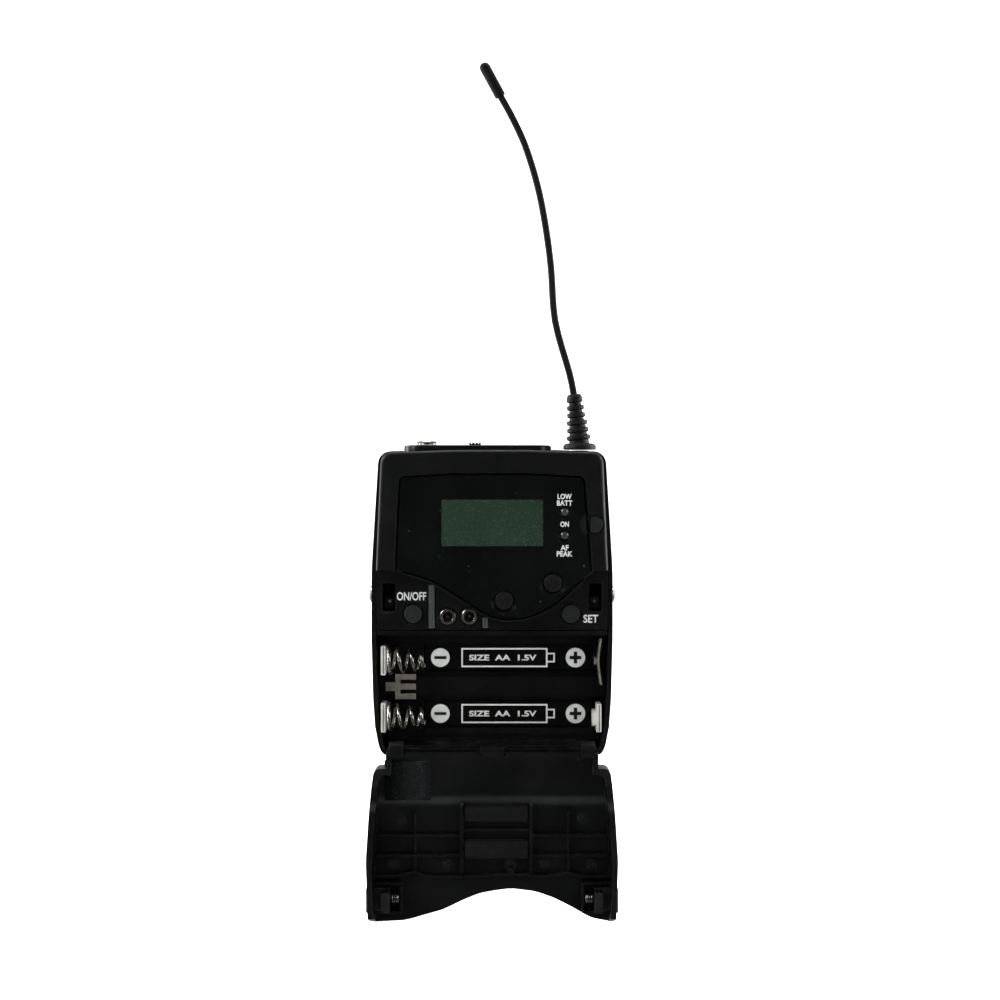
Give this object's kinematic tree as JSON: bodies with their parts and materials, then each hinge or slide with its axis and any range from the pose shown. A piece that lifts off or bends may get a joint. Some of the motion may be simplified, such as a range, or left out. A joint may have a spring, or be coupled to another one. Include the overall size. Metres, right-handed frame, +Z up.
{
  "type": "wireless bodypack transmitter",
  "caption": "Upright radio bodypack transmitter for a clip-on microphone, with whip antenna, display panel, push buttons, wire belt clip and an open hinged battery door.",
  "frame": {"origin": "on the flat rear plate, level with the middle of the case", "axes": "+Z up, towards the antenna; +Y out of the back, towards the wearer; the display faces -Y and +X is to the right of someone reading it"},
  "size_m": [0.0668, 0.0298, 0.2295],
  "materials": {
    "black_plastic": "satin black moulded plastic",
    "door_plastic": "satin black moulded plastic, smoother inside",
    "tray_plastic": "matt black moulded plastic",
    "smoked_panel": "glossy smoked plastic",
    "lcd_glass": "dark green liquid crystal display, switched off",
    "white_diffuser": "milky white",
    "board_green": "green solder mask",
    "tinned_steel": "dull tin plate",
    "silicone": "matt grey silicone",
    "led_lens": "smoky clear lens, unlit",
    "infrared_black": "glossy infrared-black",
    "button_grey": "matt dark grey",
    "nickel": "bright nickel plate",
    "guide_grey": "matt grey-green",
    "black_metal": "satin black painted metal",
    "antenna_rubber": "matt black flexible sheath",
    "label_film": "smooth black film with white print",
    "spring_bronze": "warm grey plated spring bronze",
    "dark_steel": "dark steel rod",
    "foam": "matt dark grey foam rubber",
    "catch_grey": "matt dark grey",
    "clip_steel": "bright steel wire",
    "screw_black": "blackened steel"
  },
  "bodies": {
    "root": {"rear_shell": "black_plastic", "rear_plate": "black_plastic", "front_cover": "black_plastic", "display_window": "smoked_panel", "lcd_module": "lcd_glass", "lcd_backlight": "white_diffuser", "main_board": "board_green", "rf_shield": "tinned_steel", "keypad_mat": "silicone", "led_battery": "led_lens", "led_peak": "led_lens", "infrared_window": "infrared_black", "charge_contact_left": "nickel", "charge_contact_right": "nickel", "guide_strip_left": "guide_grey", "guide_strip_right": "guide_grey", "top_plate": "black_metal", "jack_bushing": "nickel", "jack_body": "black_plastic", "mute_switch_body": "black_plastic", "antenna_boot": "antenna_rubber", "antenna_whip": "antenna_rubber", "antenna_tip": "antenna_rubber", "antenna_socket": "nickel", "battery_tray": "tray_plastic", "battery_label_upper": "label_film", "battery_label_lower": "label_film", "negative_plate_upper": "nickel", "negative_plate_lower": "nickel", "battery_spring_upper": "nickel", "battery_spring_lower": "nickel", "positive_contact_upper": "spring_bronze", "positive_contact_lower": "nickel", "pack_contact": "spring_bronze", "hinge_rod": "dark_steel", "case_screw_1": "screw_black", "case_screw_2": "screw_black", "case_screw_3": "screw_black", "case_screw_4": "screw_black"},
    "battery_door": {"door_shell": "door_plastic", "door_pad_upper": "foam", "door_pad_lower": "foam"},
    "catch_left": {"catch_left": "catch_grey", "catch_spring_left": "nickel"},
    "catch_right": {"catch_right": "catch_grey", "catch_spring_right": "nickel"},
    "button_on_off": {"button_on_off": "button_grey"},
    "button_set": {"button_set": "button_grey"},
    "button_down": {"button_down": "button_grey"},
    "button_up": {"button_up": "button_grey"},
    "mute_switch": {"mute_switch": "black_plastic"},
    "belt_clip": {"belt_clip": "clip_steel"}
  },
  "joints": [
    {"name": "battery_door_hinge", "type": "hinge", "parent": "root", "child": "battery_door", "pos_m": [0, -0.017, -0.0392], "axis": [-1, 0, 0], "range_deg": [0, 180]},
    {"name": "catch_left_slide", "type": "slide", "parent": "battery_door", "child": "catch_left", "axis": [1, 0, 0], "range_m": [0, 0.0012], "stiffness_N_per_m": 300, "deforming": ["catch_spring_left"]},
    {"name": "catch_right_slide", "type": "slide", "parent": "battery_door", "child": "catch_right", "axis": [-1, 0, 0], "range_m": [0, 0.0012], "stiffness_N_per_m": 300, "deforming": ["catch_spring_right"]},
    {"name": "button_on_off_press", "type": "slide", "parent": "root", "child": "button_on_off", "axis": [0, 1, 0], "range_m": [0, 0.0005], "stiffness_N_per_m": 500},
    {"name": "button_set_press", "type": "slide", "parent": "root", "child": "button_set", "axis": [0, 1, 0], "range_m": [0, 0.0005], "stiffness_N_per_m": 500},
    {"name": "button_down_press", "type": "slide", "parent": "root", "child": "button_down", "axis": [0, 1, 0], "range_m": [0, 0.0005], "stiffness_N_per_m": 500},
    {"name": "button_up_press", "type": "slide", "parent": "root", "child": "button_up", "axis": [0, 1, 0], "range_m": [0, 0.0005], "stiffness_N_per_m": 500},
    {"name": "mute_switch_slide", "type": "slide", "parent": "root", "child": "mute_switch", "axis": [1, 0, 0], "range_m": [0, 0.002]},
    {"name": "belt_clip_hinge", "type": "hinge", "parent": "root", "child": "belt_clip", "pos_m": [0, -0.008, 0.00145], "axis": [1, 0, 0], "range_deg": [0, 14], "stiffness_Nm_per_rad": 0.6}
  ]
}
